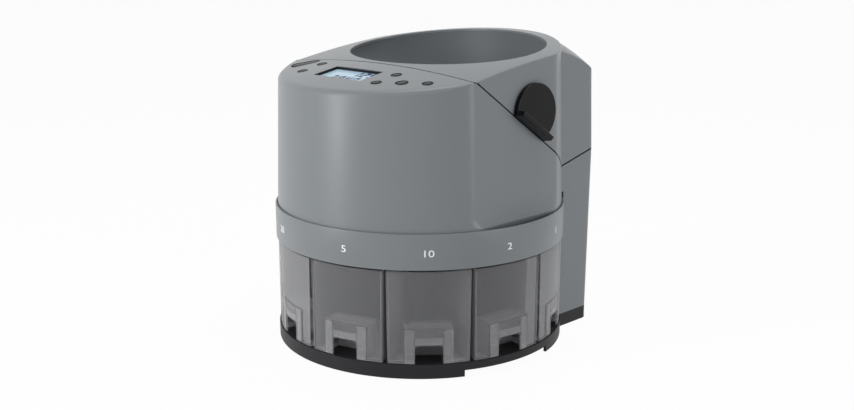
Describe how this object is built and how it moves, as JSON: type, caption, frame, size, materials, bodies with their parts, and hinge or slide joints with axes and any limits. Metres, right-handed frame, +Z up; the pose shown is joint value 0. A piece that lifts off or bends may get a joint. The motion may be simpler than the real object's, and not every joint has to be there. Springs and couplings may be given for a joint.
{
  "type": "coin counting machine",
  "caption": "Desktop coin sorter and counter: round drum with sloped key panel, oval coin hopper that swings open, label ring and pull-out translucent coin cups.",
  "frame": {"origin": "centre of the overall footprint, on the surface that the feet stand on", "axes": "+Z up, -Y the front with the control panel and the cups, +X the right side with the latch lever"},
  "size_m": [0.33, 0.3524, 0.3406],
  "materials": {
    "housing": "fine satin texture, mid grey",
    "bowl": "smooth satin, darker grey",
    "base": "satin, near black",
    "black": "satin black",
    "cup": "smoky translucent",
    "foot": "matt rubber",
    "steel": "zinc plated",
    "brass": "machined",
    "white": "moulded, natural white",
    "board": "solder resist",
    "glass": "backlit display glass",
    "iron": "varnished laminations"
  },
  "bodies": {
    "chassis": {"base_tray": "base", "rubber_feet": "foot", "base_screws": "steel", "cup_bay_core": "black", "cup_dividers": "black", "chute_deck": "base", "label_ring": "housing", "front_housing": "housing", "rear_cover": "housing", "hinge_pin": "steel", "hinge_bracket": "black", "latch_catch": "steel", "display_window": "glass", "display_module": "steel", "display_shroud": "black", "control_board": "board", "button_switches": "white", "button_rings": "black", "board_screws": "steel", "sorting_plate": "steel", "coin_chutes": "white", "coin_sensors": "black", "rotor_bearings": "brass", "sorter_motor": "steel", "transformer": "iron", "main_board": "board", "mains_inlet": "black", "switch_frame": "black", "data_port": "black"},
    "hopper": {"hopper_housing": "housing", "hopper_bowl": "bowl", "feed_chute": "white", "feed_motor": "steel", "hinge_leaf": "black"},
    "latch": {"latch_lever": "black", "latch_shaft": "steel", "latch_cam": "steel", "latch_clip": "steel"},
    "feeder": {"feed_disc": "bowl"},
    "rotor": {"sorting_rotor": "white", "rotor_shaft": "steel", "rotor_gear": "white"},
    "pinion": {"motor_pinion": "brass"},
    "rocker": {"power_rocker": "black"},
    "cup_1": {"cup_1": "cup"},
    "cup_2": {"cup_2": "cup"},
    "cup_10": {"cup_10": "cup"},
    "cup_5": {"cup_5": "cup"},
    "cup_20": {"cup_20": "cup"},
    "cup_100": {"cup_100": "cup"},
    "cup_50": {"cup_50": "cup"},
    "cup_200": {"cup_200": "cup"},
    "oval_button": {"oval_button": "black"},
    "left_rear_button": {"left_rear_button": "black"},
    "left_front_button": {"left_front_button": "black"},
    "right_front_button": {"right_front_button": "black"},
    "right_rear_button": {"right_rear_button": "black"},
    "start_button": {"start_button": "black"},
    "right_end_button": {"right_end_button": "black"}
  },
  "joints": [
    {"name": "hopper_hinge", "type": "hinge", "parent": "chassis", "child": "hopper", "pos_m": [0, 0.1722, 0.20825], "axis": [-1, 0, 0], "range_deg": [0, 70]},
    {"name": "latch_turn", "type": "hinge", "parent": "hopper", "child": "latch", "pos_m": [0.14449, 0.0144, 0.2701], "axis": [-0.9995, 0, -0.0311], "range_deg": [0, 90]},
    {"name": "feed_spin", "type": "hinge", "parent": "hopper", "child": "feeder", "pos_m": [0, 0.0388, 0.23601], "axis": [0, 0, 1], "continuous": true},
    {"name": "rotor_spin", "type": "hinge", "parent": "chassis", "child": "rotor", "pos_m": [0, -0.0112, 0.16], "axis": [0, 0, 1], "continuous": true},
    {"name": "pinion_spin", "type": "hinge", "parent": "chassis", "child": "pinion", "pos_m": [0, 0.0228, 0.126], "axis": [0, 0, 1], "continuous": true},
    {"name": "rocker_tilt", "type": "hinge", "parent": "chassis", "child": "rocker", "pos_m": [-0.02, 0.15503, 0.04812], "axis": [-1, 0, 0], "range_deg": [0, 14]},
    {"name": "cup_1_slide", "type": "slide", "parent": "chassis", "child": "cup_1", "axis": [0.9078, 0.4195, 0], "range_m": [0, 0.1]},
    {"name": "cup_2_slide", "type": "slide", "parent": "chassis", "child": "cup_2", "axis": [0.9903, -0.1392, 0], "range_m": [0, 0.1]},
    {"name": "cup_10_slide", "type": "slide", "parent": "chassis", "child": "cup_10", "axis": [0.757, -0.6534, 0], "range_m": [0, 0.1]},
    {"name": "cup_5_slide", "type": "slide", "parent": "chassis", "child": "cup_5", "axis": [0.2823, -0.9593, 0], "range_m": [0, 0.1]},
    {"name": "cup_20_slide", "type": "slide", "parent": "chassis", "child": "cup_20", "axis": [-0.2823, -0.9593, 0], "range_m": [0, 0.1]},
    {"name": "cup_100_slide", "type": "slide", "parent": "chassis", "child": "cup_100", "axis": [-0.757, -0.6534, 0], "range_m": [0, 0.1]},
    {"name": "cup_50_slide", "type": "slide", "parent": "chassis", "child": "cup_50", "axis": [-0.9903, -0.1392, 0], "range_m": [0, 0.1]},
    {"name": "cup_200_slide", "type": "slide", "parent": "chassis", "child": "cup_200", "axis": [-0.9078, 0.4195, 0], "range_m": [0, 0.1]},
    {"name": "oval_button_press", "type": "slide", "parent": "chassis", "child": "oval_button", "axis": [0, 0.184, -0.9829], "range_m": [0, 0.001], "stiffness_N_per_m": 400, "springref_m": -0.002},
    {"name": "left_rear_button_press", "type": "slide", "parent": "chassis", "child": "left_rear_button", "axis": [0, 0.184, -0.9829], "range_m": [0, 0.001], "stiffness_N_per_m": 400, "springref_m": -0.002},
    {"name": "left_front_button_press", "type": "slide", "parent": "chassis", "child": "left_front_button", "axis": [0, 0.184, -0.9829], "range_m": [0, 0.001], "stiffness_N_per_m": 400, "springref_m": -0.002},
    {"name": "right_front_button_press", "type": "slide", "parent": "chassis", "child": "right_front_button", "axis": [0, 0.184, -0.9829], "range_m": [0, 0.001], "stiffness_N_per_m": 400, "springref_m": -0.002},
    {"name": "right_rear_button_press", "type": "slide", "parent": "chassis", "child": "right_rear_button", "axis": [0, 0.184, -0.9829], "range_m": [0, 0.001], "stiffness_N_per_m": 400, "springref_m": -0.002},
    {"name": "start_button_press", "type": "slide", "parent": "chassis", "child": "start_button", "axis": [0, 0.184, -0.9829], "range_m": [0, 0.001], "stiffness_N_per_m": 400, "springref_m": -0.002},
    {"name": "right_end_button_press", "type": "slide", "parent": "chassis", "child": "right_end_button", "axis": [0, 0.184, -0.9829], "range_m": [0, 0.001], "stiffness_N_per_m": 400, "springref_m": -0.002}
  ],
  "couplings": [
    {"joint": "pinion_spin", "follows": "rotor_spin", "ratio": -3.8571}
  ]
}
